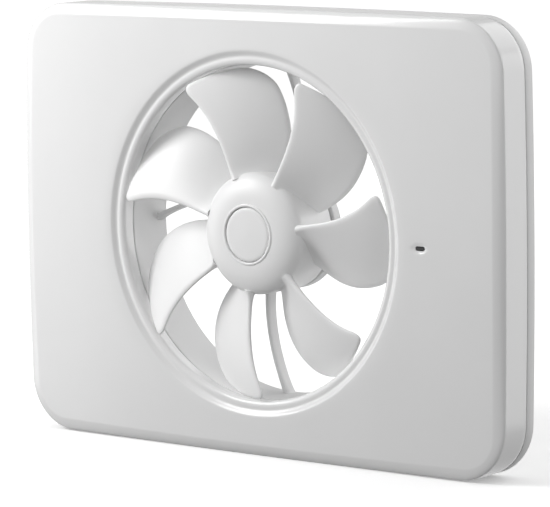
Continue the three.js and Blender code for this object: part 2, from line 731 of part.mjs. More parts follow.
add('rotor_cup', rotorCup(), steel);
add('magnet_ring', ring(STATOR_RADIUS + 0.6, ROTOR_RADIUS - 1.2, -4, -15.5), ferrite);
add('motor_shaft', disc(SHAFT_RADIUS, 3.6, -19.9, 12), steel);
add('shaft_clip', ring(SHAFT_RADIUS + GAP, 3.2, 3.4, 2.9, 16), steel);
add('bearing_front', ring(SHAFT_RADIUS + 0.1, BEARING_RADIUS, -10.9, -14.9, 16), steel);
add('bearing_rear', ring(SHAFT_RADIUS + 0.1, BEARING_RADIUS, 2.5, -1.5, 16), steel);
add('stator_core', statorCore(), lamination);
for (let i = 0; i < POLES; i += 1) {
  add(`stator_coil_${i + 1}`, coil(i), copper);
}
add('motor_board', ring(6.4, 18, -0.2, -1.4, 32), boardGreen);
add('motor_rear_cap', disc(MOTOR_RADIUS - 1.9, DUCT_REAR_Y, 4), satinWhite);
add('motor_lead', motorLead(), whiteCable);
flangeScrewPlaces.forEach(([x, z], i) => {
  add(`frame_screw_${i + 1}`, screw(2.8, FLANGE_FRONT_Y - GAP, 1.7, 1.2, 4.2).translate(x, 0, z), steel);
});

const { left, right, bottom, top, back, front } = BOARD;
add('control_board', block(left, right, bottom, top, back, front), boardGreen);
const boardMaterials = {
  transformer: yellowPlastic,
  relay: blackPlastic,
  processor: blackPlastic,
  humidity_sensor: blackPlastic,
  capacitor: blackPlastic,
  fuse: greyPlastic,
};
for (const [name, place] of Object.entries(BOARD_BLOCKS)) {
  add(name, boardBlock(place), boardMaterials[name]);
}
for (const [name, place] of Object.entries(BOARD_CANS)) {
  add(name, boardCan(place), boardMaterials[name]);
}
add('light_guide', lightGuide(), clearGuide);
add('terminal_block', terminalBlock(), greyPlastic);
terminalPlaces.forEach(([x, z], i) => {
  add(`terminal_screw_${i + 1}`, peg(2.1, -8.9, -12.4, x, z), steel);
});
add('electronics_case', electronicsCase(), satinWhite);
caseScrewPlaces.forEach(([x, z], i) => {
  add(`case_screw_${i + 1}`, screw(2.6, CASE.front - GAP, 1.3, 1, 7).translate(x, 0, z), steel);
});
add('cable_clamp', cableClamp(), satinWhite);
clampScrewPlaces.forEach(([x, z], i) => {
  add(`clamp_screw_${i + 1}`, screw(2.6, CLAMP.front - GAP, 1.6, 1, 6).translate(x, 0, z), steel);
});
add('cable_grommet', cableGrommet(), greyRubber);

export default group;
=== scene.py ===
"""Looks for a wall-mounted axial extractor fan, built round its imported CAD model."""
import json
import math

import bmesh
import bpy
import numpy as np
from mathutils import Matrix, Vector


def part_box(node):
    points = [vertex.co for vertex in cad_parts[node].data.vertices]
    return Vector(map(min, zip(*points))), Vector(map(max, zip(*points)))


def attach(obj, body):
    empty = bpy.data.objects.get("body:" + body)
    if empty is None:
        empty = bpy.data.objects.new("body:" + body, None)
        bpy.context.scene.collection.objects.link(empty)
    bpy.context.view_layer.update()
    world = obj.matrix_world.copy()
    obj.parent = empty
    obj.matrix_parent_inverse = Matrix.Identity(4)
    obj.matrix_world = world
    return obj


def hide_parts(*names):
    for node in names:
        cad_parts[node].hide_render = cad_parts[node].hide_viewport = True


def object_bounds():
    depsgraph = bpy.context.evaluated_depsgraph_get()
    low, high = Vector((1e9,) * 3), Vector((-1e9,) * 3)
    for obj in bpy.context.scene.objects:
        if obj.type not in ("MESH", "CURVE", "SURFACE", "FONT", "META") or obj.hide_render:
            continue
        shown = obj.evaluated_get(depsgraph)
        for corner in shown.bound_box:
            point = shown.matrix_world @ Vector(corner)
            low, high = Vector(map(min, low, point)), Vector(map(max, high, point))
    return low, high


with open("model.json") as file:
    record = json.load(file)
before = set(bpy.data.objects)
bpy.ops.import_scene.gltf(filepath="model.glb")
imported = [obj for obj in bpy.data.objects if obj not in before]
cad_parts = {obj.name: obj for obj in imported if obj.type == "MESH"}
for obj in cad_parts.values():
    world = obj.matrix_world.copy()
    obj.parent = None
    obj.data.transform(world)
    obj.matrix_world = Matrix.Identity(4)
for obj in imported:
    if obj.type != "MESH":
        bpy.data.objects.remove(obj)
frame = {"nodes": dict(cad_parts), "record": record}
CAD_BOX = [list(corner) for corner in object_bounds()]
MM = 0.001

# ---------- sizes in millimetres, read from the frame where it gives them ----------
COVER_LOW, COVER_HIGH = (Vector(corner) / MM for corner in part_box("front_cover"))
PLATE_HIGH = Vector(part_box("back_plate")[1]) / MM
DUCT_HIGH = Vector(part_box("duct_ring")[1]) / MM
WINDOW_LOW, WINDOW_HIGH = (Vector(corner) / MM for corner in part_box("sensor_window"))
BODY_WIDTH = COVER_HIGH.x - COVER_LOW.x
BODY_HEIGHT = COVER_HIGH.z - COVER_LOW.z
SEAM_Y = COVER_HIGH.y
CORNER_RADIUS = 19.5
CORNER_TIGHTENING = 1.55
SIDE_BOW = 1.35
END_BOW = 0.85
FACE_Y = -21
FACE_CROWN = 1.5
BEVEL_WIDTH = 4.4
BEVEL_DEPTH = 2.6
BEVEL_START = math.radians(50)
COVER_WALL = 2.2
EDGE_ROUND = 0.45
DUCT_RADIUS = 63.2
DUCT_WALL = 2.2
LIP_WIDTH = 6
LIP_END_Y = FACE_Y + 6
LIP_DIP = 1.3
FLANGE_RADIUS = 72
FLANGE_FRONT_Y, FLANGE_REAR_Y = -4.3, -2.3
HUB_RADIUS = 23
HUB_BORE = 20.8
HUB_NOSE_Y = -23.5
HUB_REAR_Y = -1.1
HUB_INNER_Y = -20.2
HUB_DOME_DEPTH = 5.2
HUB_CAP_RADIUS = 10.2
HUB_CAP_GAP = 0.3
BEAD_WIDTH, BEAD_HEIGHT = 1.1, 0.36
MOTOR_RADIUS = 23
MOTOR_FRONT_Y = 0.9
MOTOR_WALL = 1.6
MOTOR_FLOOR_Y = 2.9
BEARING_BORE, BEARING_TUBE, BEARING_FRONT_Y = 4.2, 6, -15.5
BLADES = 7
TIP_RADIUS = 62.3
BLADE_ROOT_RADIUS = 21.5
STRUTS = 4
STRUT_WIDTH = 2.0
STRUT_FRONT_Y, STRUT_REAR_Y = -0.8, 4.2
PLATE_THICKNESS = 2
FULL_TURN = 2 * math.pi


# ---------- mesh helpers ----------
def new_object(name, verts, faces, material, sharp_angle=35):
    mesh = bpy.data.meshes.new(name)
    mesh.from_pydata([tuple(np.array(v) * MM) for v in verts], [], [tuple(f) for f in faces])
    tidy = bmesh.new()
    tidy.from_mesh(mesh)
    bmesh.ops.remove_doubles(tidy, verts=tidy.verts, dist=1e-7)
    bmesh.ops.recalc_face_normals(tidy, faces=tidy.faces)
    tidy.to_mesh(mesh)
    tidy.free()
    obj = bpy.data.objects.new(name, mesh)
    bpy.context.scene.collection.objects.link(obj)
    finish_surface(obj, material, sharp_angle)
    return obj


def finish_surface(obj, material, sharp_angle=35):
    obj.data.materials.clear()
    obj.data.materials.append(material)
    obj.data.shade_smooth()
    obj.data.set_sharp_from_angle(angle=math.radians(sharp_angle))


def apply_modifiers(obj):
    graph = bpy.context.evaluated_depsgraph_get()
    result = bpy.data.meshes.new_from_object(obj.evaluated_get(graph))
    obj.modifiers.clear()
    obj.data = result


def boolean(obj, other, operation):
    modifier = obj.modifiers.new("boolean", "BOOLEAN")
    modifier.operation = operation
    modifier.solver = "EXACT"
    modifier.object = other
    bpy.context.view_layer.update()
    apply_modifiers(obj)
    bpy.data.objects.remove(other)


def loft(loops, closed_rows=True):
    """Quads through loops of equal length. With closed_rows the last loop joins the first."""
    count = len(loops[0])
    verts = [point for loop in loops for point in loop]
    rows = len(loops) if closed_rows else len(loops) - 1
    faces = []
    for row in range(rows):
        after = (row + 1) % len(loops)
        for i in range(count):
            j = (i + 1) % count
            faces.append((row * count + i, row * count + j, after * count + j, after * count + i))
    return verts, faces


def turned(name, outline, material, segments=96, centre=(0, 0), sharp_angle=35):
    """Solid of revolution from a closed outline of (radius, y), about the fan's axis or one beside it."""
    middle_x, middle_z = centre
    angles = np.arange(segments) * FULL_TURN / segments
    loops = []
    for radius, y in outline:
        loops.append([(middle_x + radius * math.cos(a), y, middle_z + radius * math.sin(a)) for a in angles])
    verts, faces = loft(loops)
    return new_object(name, verts, faces, material, sharp_angle)


def rounded(outline, radius, steps=4):
    """The closed outline with each corner replaced by an arc."""
    points = [np.array(p, float) for p in outline]
    result = []
    for i, corner in enumerate(points):
        before = points[i - 1] - corner
        after = points[(i + 1) % len(points)] - corner
        size = min(radius, 0.45 * np.linalg.norm(before), 0.45 * np.linalg.norm(after))
        on_axis = abs(corner[0]) < 1e-6
        if on_axis or size < 1e-4:
            result.append(tuple(corner))
            continue
        start = corner + before / np.linalg.norm(before) * size
        end = corner + after / np.linalg.norm(after) * size
        for k in range(steps + 1):
            t = k / steps
            result.append(tuple((1 - t) ** 2 * start + 2 * t * (1 - t) * corner + t**2 * end))
    return result


def box(name, low, high, material, bevel=0.35):
    """Bevelled box between two corners."""
    corners = [(x, y, z) for x in (low[0], high[0]) for y in (low[1], high[1]) for z in (low[2], high[2])]
    faces = [(0, 1, 3, 2), (4, 6, 7, 5), (0, 4, 5, 1), (2, 3, 7, 6), (0, 2, 6, 4), (1, 5, 7, 3)]
    obj = new_object(name, corners, faces, material)
    work = bmesh.new()
    work.from_mesh(obj.data)
    bmesh.ops.bevel(work, geom=list(work.edges), offset=bevel * MM, segments=3, profile=0.5, affect="EDGES")
    work.to_mesh(obj.data)
    work.free()
    finish_surface(obj, material)
    return obj


# ---------- materials ----------
def noise(nodes, links, coords, scale, detail):
    texture = nodes.new("ShaderNodeTexNoise")
    texture.inputs["Scale"].default_value = scale
    texture.inputs["Detail"].default_value = detail
    links.new(coords.outputs["Object"], texture.inputs["Vector"])
    return texture


def moulded(
    name, color, roughness, grain=700.0, bump=0.04, coat=0.0, metallic=0.0, mottle=0.02, specular=0.5
):
    """Moulded or machined surface: faint cloudy colour, uneven gloss and a fine grain."""
    material = bpy.data.materials.new(name)
    material.use_nodes = True
    nodes, links = material.node_tree.nodes, material.node_tree.links
    shader = nodes["Principled BSDF"]
    shader.inputs["Metallic"].default_value = metallic
    shader.inputs["Coat Weight"].default_value = coat
    shader.inputs["Coat Roughness"].default_value = 0.08
    shader.inputs["Specular IOR Level"].default_value = specular
    coords = nodes.new("ShaderNodeTexCoord")
    cloud = noise(nodes, links, coords, 28.0, 3.0)
    ramp = nodes.new("ShaderNodeValToRGB")
    low = [max(c * (1 - mottle), 0) for c in color]
    ramp.color_ramp.elements[0].color = (*low, 1)
    ramp.color_ramp.elements[1].color = (*color, 1)
    ramp.color_ramp.elements[0].position = 0.3
    ramp.color_ramp.elements[1].position = 0.7
    links.new(cloud.outputs["Fac"], ramp.inputs["Fac"])
    links.new(ramp.outputs["Color"], shader.inputs["Base Color"])
    gloss = nodes.new("ShaderNodeMapRange")
    gloss.inputs["To Min"].default_value = roughness * 0.88
    gloss.inputs["To Max"].default_value = roughness * 1.15
    links.new(cloud.outputs["Fac"], gloss.inputs["Value"])
    links.new(gloss.outputs["Result"], shader.inputs["Roughness"])
    fine = noise(nodes, links, coords, grain, 2.0)
    relief = nodes.new("ShaderNodeBump")
    relief.inputs["Strength"].default_value = bump
    relief.inputs["Distance"].default_value = 0.0002
    links.new(fine.outputs["Fac"], relief.inputs["Height"])
    links.new(relief.outputs["Normal"], shader.inputs["Normal"])
    return material


def banded(name, color, dark, roughness, metallic, scale, direction="Z"):
    """Surface with fine parallel bands: windings, laminations or brushed metal."""
    material = moulded(name, color, roughness, metallic=metallic)
    nodes, links = material.node_tree.nodes, material.node_tree.links
    coords = next(node for node in nodes if node.type == "TEX_COORD")
    wave = nodes.new("ShaderNodeTexWave")
    wave.bands_direction = direction
    wave.inputs["Scale"].default_value = scale
    wave.inputs["Distortion"].default_value = 0.6
    links.new(coords.outputs["Object"], wave.inputs["Vector"])
    ramp = nodes.new("ShaderNodeValToRGB")
    ramp.color_ramp.elements[0].color = (*dark, 1)
    ramp.color_ramp.elements[1].color = (*color, 1)
    links.new(wave.outputs["Fac"], ramp.inputs["Fac"])
    shader = nodes["Principled BSDF"]
    links.new(ramp.outputs["Color"], shader.inputs["Base Color"])
    return material


GLOSS_WHITE = moulded("gloss_white", (0.835, 0.835, 0.835), 0.24, grain=260, bump=0.02, coat=0.25)
BLADE_WHITE = moulded("blade_white", (0.875, 0.875, 0.875), 0.34, grain=500, bump=0.03)
SATIN_WHITE = moulded("satin_white", (0.805, 0.805, 0.805), 0.42, grain=900, bump=0.06)
DARK_LENS = moulded("dark_lens", (0.012, 0.012, 0.014), 0.08, bump=0.01, coat=0.6, mottle=0.2)
CLEAR_GUIDE = moulded("clear_guide", (0.75, 0.82, 0.86), 0.06, bump=0.01, coat=0.5)
STEEL = banded("zinc_steel", (0.62, 0.63, 0.65), (0.5, 0.51, 0.53), 0.3, 1.0, 400)
LAMINATION = banded("lamination", (0.36, 0.37, 0.39), (0.16, 0.16, 0.17), 0.45, 0.9, 500, "Y")
FERRITE = moulded("ferrite", (0.05, 0.05, 0.055), 0.6, grain=1200, bump=0.2, mottle=0.3)
COPPER = banded("copper_wire", (0.72, 0.33, 0.14), (0.36, 0.13, 0.05), 0.32, 0.9, 620, "Y")
BOARD = moulded("solder_mask", (0.03, 0.2, 0.09), 0.35, grain=900, bump=0.1, coat=0.3, mottle=0.25)
BLACK = moulded("black_plastic", (0.02, 0.02, 0.023), 0.42, grain=1500, bump=0.12, mottle=0.2)
YELLOW_TAPE = banded("wound_tape", (0.78, 0.55, 0.12), (0.62, 0.42, 0.08), 0.4, 0.0, 160)
RUBBER = moulded("grey_rubber", (0.25, 0.255, 0.26), 0.75, grain=1100, bump=0.15, mottle=0.1)
SHEATH = moulded("cable_sheath", (0.72, 0.72, 0.71), 0.5, grain=800, bump=0.06)
GREY_PLASTIC = moulded("grey_plastic", (0.42, 0.43, 0.45), 0.45, grain=1300, bump=0.1, mottle=0.06)


# ---------- the body's outline ----------
def body_outline(inset, steps=(44, 14, 32)):
    """Rounded rectangle with bowed sides, inset by a distance, as an array of (x, z)."""
    across, round_steps, up = steps
    half_w, half_h = BODY_WIDTH / 2 - inset, BODY_HEIGHT / 2 - inset
    corner = max(CORNER_RADIUS - inset * CORNER_TIGHTENING, 2)
    flat_x, flat_z = half_w - corner, half_h - corner
    points = []

    def straight(start, end, count):
        for i in range(count):
            points.append(np.array(start) + (np.array(end) - np.array(start)) * i / count)

    def quarter(sign_x, sign_z, start):
        for i in range(round_steps):
            angle = start + i / round_steps * math.pi / 2
            x = sign_x * flat_x + corner * math.cos(angle)
            points.append(np.array([x, sign_z * flat_z + corner * math.sin(angle)]))

    straight((half_w, -flat_z), (half_w, flat_z), up)
    quarter(1, 1, 0)
    straight((flat_x, half_h), (-flat_x, half_h), across)
    quarter(-1, 1, math.pi / 2)
    straight((-half_w, flat_z), (-half_w, -flat_z), up)
    quarter(-1, -1, math.pi)
    straight((-flat_x, -half_h), (flat_x, -half_h), across)
    quarter(1, -1, -math.pi / 2)
    flat = np.array(points)
    x, z = flat[:, 0], flat[:, 1]
    bow_x = SIDE_BOW * (z / half_h) ** 2 * (x / half_w)
    bow_z = END_BOW * (x / half_w) ** 2 * (z / half_h)
    return np.column_stack([x - bow_x, z - bow_z])


def crown(x, z):
    half_w, half_h = BODY_WIDTH / 2 - BEVEL_WIDTH, BODY_HEIGHT / 2 - BEVEL_WIDTH
    return -FACE_CROWN * (1 - (x / half_w) ** 2 - (z / half_h) ** 2)


def outline_loop(inset, y, crowned=False):
    flat = body_outline(inset)
    depth = y + (crown(flat[:, 0], flat[:, 1]) if crowned else 0 * flat[:, 0])
    return np.column_stack([flat[:, 0], depth, flat[:, 1]])


def round_loop(radius, y, crowned=False):
    """A circle whose points are in line with the body outline's points."""
    flat = body_outline(BEVEL_WIDTH)
    flat = flat * (radius / np.linalg.norm(flat, axis=1))[:, None]
    depth = y + (crown(flat[:, 0], flat[:, 1]) if crowned else 0 * flat[:, 0])
    return np.column_stack([flat[:, 0], depth, flat[:, 1]])


def between(loop_a, loop_b, share, y):
    middle = loop_a * (1 - share) + loop_b * share
    middle[:, 1] = y + crown(middle[:, 0], middle[:, 2])
    return middle


# ---------- front cover ----------
def lip_loops(start):
    """The face dips to a narrow rim, which rounds over into the duct."""
    rim_width, rim_round, crest = 3.2, 2.0, 0.15
    profile = []
    for t in np.linspace(0, 1, 9)[1:]:
        profile.append((LIP_WIDTH - (LIP_WIDTH - rim_width) * t, LIP_DIP * (1 - math.cos(math.pi * t)) / 2))
    for t in np.linspace(0, 1, 4)[1:]:
        profile.append((rim_width - (rim_width - rim_round) * t, LIP_DIP - crest * math.sin(math.pi / 2 * t)))
    for t in np.linspace(0, math.pi / 2, 10)[1:]:
        profile.append((rim_round * (1 - math.sin(t)), LIP_DIP - crest + 1.55 * (1 - math.cos(t))))
    loops = []
    for beyond, depth in profile:
        loop = round_loop(DUCT_RADIUS + beyond, 0)
        loop[:, 1] = start[:, 1] + depth
        loops.append(loop)
    return loops


def cover_loops():
    rim = outline_loop(BEVEL_WIDTH, FACE_Y, True)
    side_y = FACE_Y + BEVEL_DEPTH
    loops = [outline_loop(EDGE_ROUND, SEAM_Y), outline_loop(EDGE_ROUND * 0.3, SEAM_Y - EDGE_ROUND * 0.3)]
    loops.append(outline_loop(0, SEAM_Y - EDGE_ROUND))
    loops += [outline_loop(0, y) for y in np.linspace(SEAM_Y - 2, side_y + 0.6, 5)]
    bevel_steps = 12
    for i in range(bevel_steps + 1):
        angle = math.pi / 2 + (BEVEL_START - math.pi / 2) * i / bevel_steps
        outward = (math.sin(angle) - math.sin(BEVEL_START)) / (1 - math.sin(BEVEL_START))
        back = (math.cos(BEVEL_START) - math.cos(angle)) / math.cos(BEVEL_START)
        loop = outline_loop(BEVEL_WIDTH * (1 - outward), 0)
        loop[:, 1] = rim[:, 1] + (side_y - rim[:, 1]) * back
        loops.append(loop)
    start = round_loop(DUCT_RADIUS + LIP_WIDTH, FACE_Y, True)
    face_steps = 14
    loops += [between(rim, start, share, FACE_Y) for share in np.linspace(0.012, 1, face_steps) ** 1.15]
    loops += lip_loops(start)
    outer = DUCT_RADIUS + DUCT_WALL
    loops.append(round_loop(DUCT_RADIUS + 0.15, LIP_END_Y - 0.12))
    loops.append(round_loop(DUCT_RADIUS + EDGE_ROUND, LIP_END_Y))
    loops.append(round_loop(outer, LIP_END_Y))
    loops.append(round_loop(outer, LIP_END_Y - 1.6))
    inner_y = FACE_Y + COVER_WALL
    inner_start = round_loop(DUCT_RADIUS + LIP_WIDTH + 0.6, inner_y, True)
    inner_rim = outline_loop(BEVEL_WIDTH + 1.6, inner_y, True)
    loops += [between(inner_start, inner_rim, share, inner_y) for share in np.linspace(0, 1, 6)]
    loops.append(outline_loop(COVER_WALL, side_y + 2.6))
    loops.append(outline_loop(COVER_WALL, SEAM_Y))
    return loops


def stadium(width, height, low_y, high_y, x, z, steps=12):
    """Flat-sided oval peg's two end loops."""
    flat = (width - height) / 2
    loop = []
    for side, start in ((1, -math.pi / 2), (-1, math.pi / 2)):
        for i in range(steps + 1):
            angle = start + math.pi * i / steps
            loop.append((x + side * flat + height / 2 * math.cos(angle), z + height / 2 * math.sin(angle)))
    return [[(px, y, pz) for px, pz in loop] for y in (low_y, high_y)]


def oval_peg(name, width, height, low_y, high_y, x, z, material):
    low, high = stadium(width, height, low_y, high_y, x, z)
    verts, faces = loft([low, high], closed_rows=False)
    count = len(low)
    faces += [tuple(range(count)), tuple(range(2 * count - 1, count - 1, -1))]
    return new_object(name, verts, faces, material)


WINDOW_CENTRE = (WINDOW_LOW + WINDOW_HIGH) / 2
WINDOW_SIZE = WINDOW_HIGH - WINDOW_LOW
WINDOW_GAP = 0.5
CATCH_X, CATCH_Z = 105.3, 34
CATCH_PLACES = [(side, z) for side in (-1, 1) for z in (-CATCH_Z, CATCH_Z)]
TAB_X = CATCH_X + 2.6
TAB_HALF, TAB_REAR_Y = (0.7, 4), -7.5


def make_dimple():
    """A flattened ball whose rear side presses a shallow oval dish into the face round the window."""
    half_width, half_height, depth = 5.2, 3.0, 0.35
    half_circle = [(math.sin(t), -math.cos(t)) for t in np.linspace(0, math.pi, 25)]
    ball = turned("dimple", half_circle, GLOSS_WHITE, 64)
    face_y = FACE_Y + crown(WINDOW_CENTRE.x, WINDOW_CENTRE.z)
    ball.data.transform(Matrix.Diagonal((half_width, 4 * depth, half_height, 1)))
    middle = Vector((WINDOW_CENTRE.x, face_y - 3 * depth, WINDOW_CENTRE.z))
    ball.data.transform(Matrix.Translation(middle * MM))
    return ball


def make_cover():
    verts, faces = loft(cover_loops())
    cover = new_object("cover_shell", verts, faces, GLOSS_WHITE)
    boolean(cover, make_dimple(), "DIFFERENCE")
    x, z = WINDOW_CENTRE.x, WINDOW_CENTRE.z
    width, height = WINDOW_SIZE.x + WINDOW_GAP, WINDOW_SIZE.z + WINDOW_GAP
    hole = oval_peg("hole", width, height, -30, -15, x, z, GLOSS_WHITE)
    boolean(cover, hole, "DIFFERENCE")
    for side, z in CATCH_PLACES:
        x = side * TAB_X
        low = (x - TAB_HALF[0], FACE_Y + 1.6, z - TAB_HALF[1])
        high = (x + TAB_HALF[0], TAB_REAR_Y, z + TAB_HALF[1])
        boolean(cover, box("tab", low, high, GLOSS_WHITE), "UNION")
    finish_surface(cover, GLOSS_WHITE, 22)
    return cover


def make_window():
    x, z = WINDOW_CENTRE.x, WINDOW_CENTRE.z
    width, height = WINDOW_SIZE.x, WINDOW_SIZE.z
    return oval_peg("sensor_lens", width, height, WINDOW_LOW.y, WINDOW_HIGH.y, x, z, DARK_LENS)


# ---------- back plate ----------
WALL_SCREW_X, WALL_SCREW_Z = 62, 70
WALL_HOLE, WALL_PAD, WALL_PAD_Y = 2.4, 6.5, -2.8
WALL_SCREWS = [(side_x * WALL_SCREW_X, side_z * WALL_SCREW_Z) for side_x in (-1, 1) for side_z in (-1, 1)]
FLANGE_SCREW_CIRCLE, FLANGE_HOLE = 68.8, 1.5
FLANGE_SCREW_ANGLES = [math.radians(angle) for angle in (45, 135, 225, 315)]
FLANGE_SCREWS = [
    (FLANGE_SCREW_CIRCLE * math.cos(a), FLANGE_SCREW_CIRCLE * math.sin(a)) for a in FLANGE_SCREW_ANGLES
]
CASE_X = 89
GROMMET, GROMMET_HOLE = (CASE_X, -70), 5
CLAMP_SCREWS = [(CASE_X - 8.2, -59.5), (CASE_X + 8.2, -59.5)]
CASE_SCREWS = [(CASE_X, 55.6), (CASE_X, -48.1)]
STANDOFFS = [(x, z) for x in (78, 96.4) for z in (-26, 46)]
PILOT_RADIUS = 1.3
RIB_INNER_X, RIB_OUTER_X, RIB_FRONT_Y = 76, 108, -4.4
TOP_RIB_Z, LEFT_RIB_Z, RIB_THICKNESS = 70, 20, 1.4
PLATE_BITE_Y = -1


def peg(name, radius, low_y, high_y, place, material=None, segments=32):
    outline = [(0, low_y), (radius, low_y), (radius, high_y), (0, high_y)]
    return turned(name, outline, material or SATIN_WHITE, segments, place)


def post(place, bore, radius, tip_y, sunk_y=-1.2, edge=0.3, segments=32):
    """A round post or pad that stands on the plate's floor. With a bore of 0 it is solid."""
    outline = [(bore, sunk_y), (radius, sunk_y), (radius, tip_y), (bore, tip_y)]
    return turned("post", rounded(outline, edge), SATIN_WHITE, segments, place)


def make_rib(low_x, high_x, low_z):
    low, high = (low_x, RIB_FRONT_Y, low_z), (high_x, PLATE_BITE_Y, low_z + RIB_THICKNESS)
    return box("rib", low, high, SATIN_WHITE)


def make_back_plate():
    front = PLATE_HIGH.y - PLATE_THICKNESS
    rim_front = SEAM_Y + 0.4
    hole = DUCT_RADIUS + DUCT_WALL + 0.3
    loops = [outline_loop(EDGE_ROUND, rim_front)]
    loops.append(outline_loop(EDGE_ROUND * 0.3, rim_front + EDGE_ROUND * 0.3))
    loops += [outline_loop(0, rim_front + EDGE_ROUND), outline_loop(0, PLATE_HIGH.y - 1.0)]
    loops += [outline_loop(0.3, PLATE_HIGH.y - 0.3), outline_loop(1.0, PLATE_HIGH.y)]
    outer, inner = outline_loop(1.0, PLATE_HIGH.y), round_loop(hole + 0.4, PLATE_HIGH.y)
    loops += [outer * (1 - share) + inner * share for share in (0.1, 0.4, 0.7, 1)]
    loops += [round_loop(hole, PLATE_HIGH.y - 0.4), round_loop(hole, front)]
    outer, inner = outline_loop(COVER_WALL, front), round_loop(hole, front)
    loops += [inner * (1 - share) + outer * share for share in (0.3, 0.6, 1)]
    loops.append(outline_loop(COVER_WALL, rim_front))
    verts, faces = loft(loops)
    plate = new_object("back_plate_skin", verts, faces, SATIN_WHITE)
    cutters = [peg("cut", WALL_HOLE, -8, 2, place) for place in WALL_SCREWS]
    cutters += [peg("cut", FLANGE_HOLE, -8, 2, place) for place in FLANGE_SCREWS]
    cutters.append(peg("cut", GROMMET_HOLE, -8, 2, GROMMET))
    for cutter in cutters:
        boolean(plate, cutter, "DIFFERENCE")
    additions = [post(place, 0, 2.4, -5.7, sunk_y=PLATE_BITE_Y) for place in STANDOFFS]
    additions += [post(place, WALL_HOLE, WALL_PAD, WALL_PAD_Y, segments=48) for place in WALL_SCREWS]
    additions += [post(place, PILOT_RADIUS, 2.6, -5.4, edge=0.25) for place in CLAMP_SCREWS]
    additions += [post(place, PILOT_RADIUS, 3, -14) for place in CASE_SCREWS]
    for side, z in CATCH_PLACES:
        x = side * CATCH_X
        additions.append(box("catch", (x - 1.2, -12, z - 5), (x + 1.2, PLATE_BITE_Y, z + 5), SATIN_WHITE))
    for side in (-1, 1):
        low_x, high_x = sorted((side * RIB_INNER_X, side * RIB_OUTER_X))
        additions.append(make_rib(low_x, high_x, TOP_RIB_Z))
        additions.append(make_rib(-RIB_OUTER_X, -RIB_INNER_X, side * LEFT_RIB_Z - RIB_THICKNESS / 2))
    for addition in additions:
        boolean(plate, addition, "UNION")
    finish_surface(plate, SATIN_WHITE, 30)
    return plate


# ---------- duct, struts and motor mount ----------
def strut_angle(radius):
    share = (radius - MOTOR_RADIUS) / (DUCT_RADIUS - MOTOR_RADIUS)
    return math.radians(-112 + 24.6 * share - 3.2 * share**2)


def make_strut(number, steps=24):
    """A curved rib whose front edge is rounded, and which widens where it meets the duct and the mount."""
    turn = number * FULL_TURN / STRUTS
    section = rounded([(-0.5, 0), (0.5, 0), (0.5, 1), (-0.5, 1)], 0.3, 3)
    loops = []
    for i in range(steps + 1):
        share = i / steps
        radius = MOTOR_RADIUS - 0.3 + (DUCT_RADIUS + 1 - MOTOR_RADIUS + 0.3) * share
        flare = 1 + 0.9 * math.exp(-share * 14) + 0.9 * math.exp(-(1 - share) * 16)
        loop = []
        for across, along in section:
            angle = strut_angle(radius) + turn + across * STRUT_WIDTH * flare / radius
            y = STRUT_FRONT_Y + (STRUT_REAR_Y - STRUT_FRONT_Y) * along
            loop.append((radius * math.cos(angle), y, radius * math.sin(angle)))
        loops.append(loop)
    verts, faces = loft(loops, closed_rows=False)
    count = len(section)
    last = steps * count
    faces += [tuple(range(count)), tuple(range(last + count - 1, last - 1, -1))]
    return new_object("strut", verts, faces, SATIN_WHITE)


LEAD_HOLE, LEAD_HOLE_LENGTH = 1.3, 12
LEAD_HOLE_START = Vector((58, -5.8, 0))


def make_duct():
    front, back = LIP_END_Y + 0.4, DUCT_HIGH.y
    outer = DUCT_RADIUS + DUCT_WALL
    tube = [
        (DUCT_RADIUS, back),
        (outer, back),
        (outer, FLANGE_REAR_Y),
        (FLANGE_RADIUS, FLANGE_REAR_Y),
        (FLANGE_RADIUS, FLANGE_FRONT_Y),
        (outer, FLANGE_FRONT_Y),
        (outer, front),
        (DUCT_RADIUS, front),
    ]
    duct = turned("duct_moulding", rounded(tube, 0.5), SATIN_WHITE, 192)
    mount = [
        (BEARING_BORE, MOTOR_FLOOR_Y),
        (MOTOR_RADIUS - MOTOR_WALL, MOTOR_FLOOR_Y),
        (MOTOR_RADIUS - MOTOR_WALL, back),
        (MOTOR_RADIUS, back),
        (MOTOR_RADIUS, MOTOR_FRONT_Y),
        (BEARING_TUBE, MOTOR_FRONT_Y),
        (BEARING_TUBE, BEARING_FRONT_Y),
        (BEARING_BORE, BEARING_FRONT_Y),
    ]
    pieces = [turned("mount", rounded(mount, 0.5), SATIN_WHITE, 128)]
    pieces += [make_strut(number) for number in range(STRUTS)]
    for piece in pieces:
        boolean(duct, piece, "UNION")
    for place in FLANGE_SCREWS:
        boolean(duct, peg("cut", FLANGE_HOLE, -8, 0, place), "DIFFERENCE")
    lead_hole = peg("cut", LEAD_HOLE, 0, LEAD_HOLE_LENGTH, (0, 0))
    sideways = Matrix.Rotation(-math.pi / 2, 4, "Z")
    lead_hole.data.transform(Matrix.Translation(LEAD_HOLE_START * MM) @ sideways)
    boolean(duct, lead_hole, "DIFFERENCE")
    finish_surface(duct, SATIN_WHITE, 30)
    return duct


# ---------- impeller ----------
def corner_loss(share, start, amount):
    along = max(0.0, (share - start) / (1 - start))
    return amount * (1 - math.sqrt(max(0.0, 1 - along**2)))


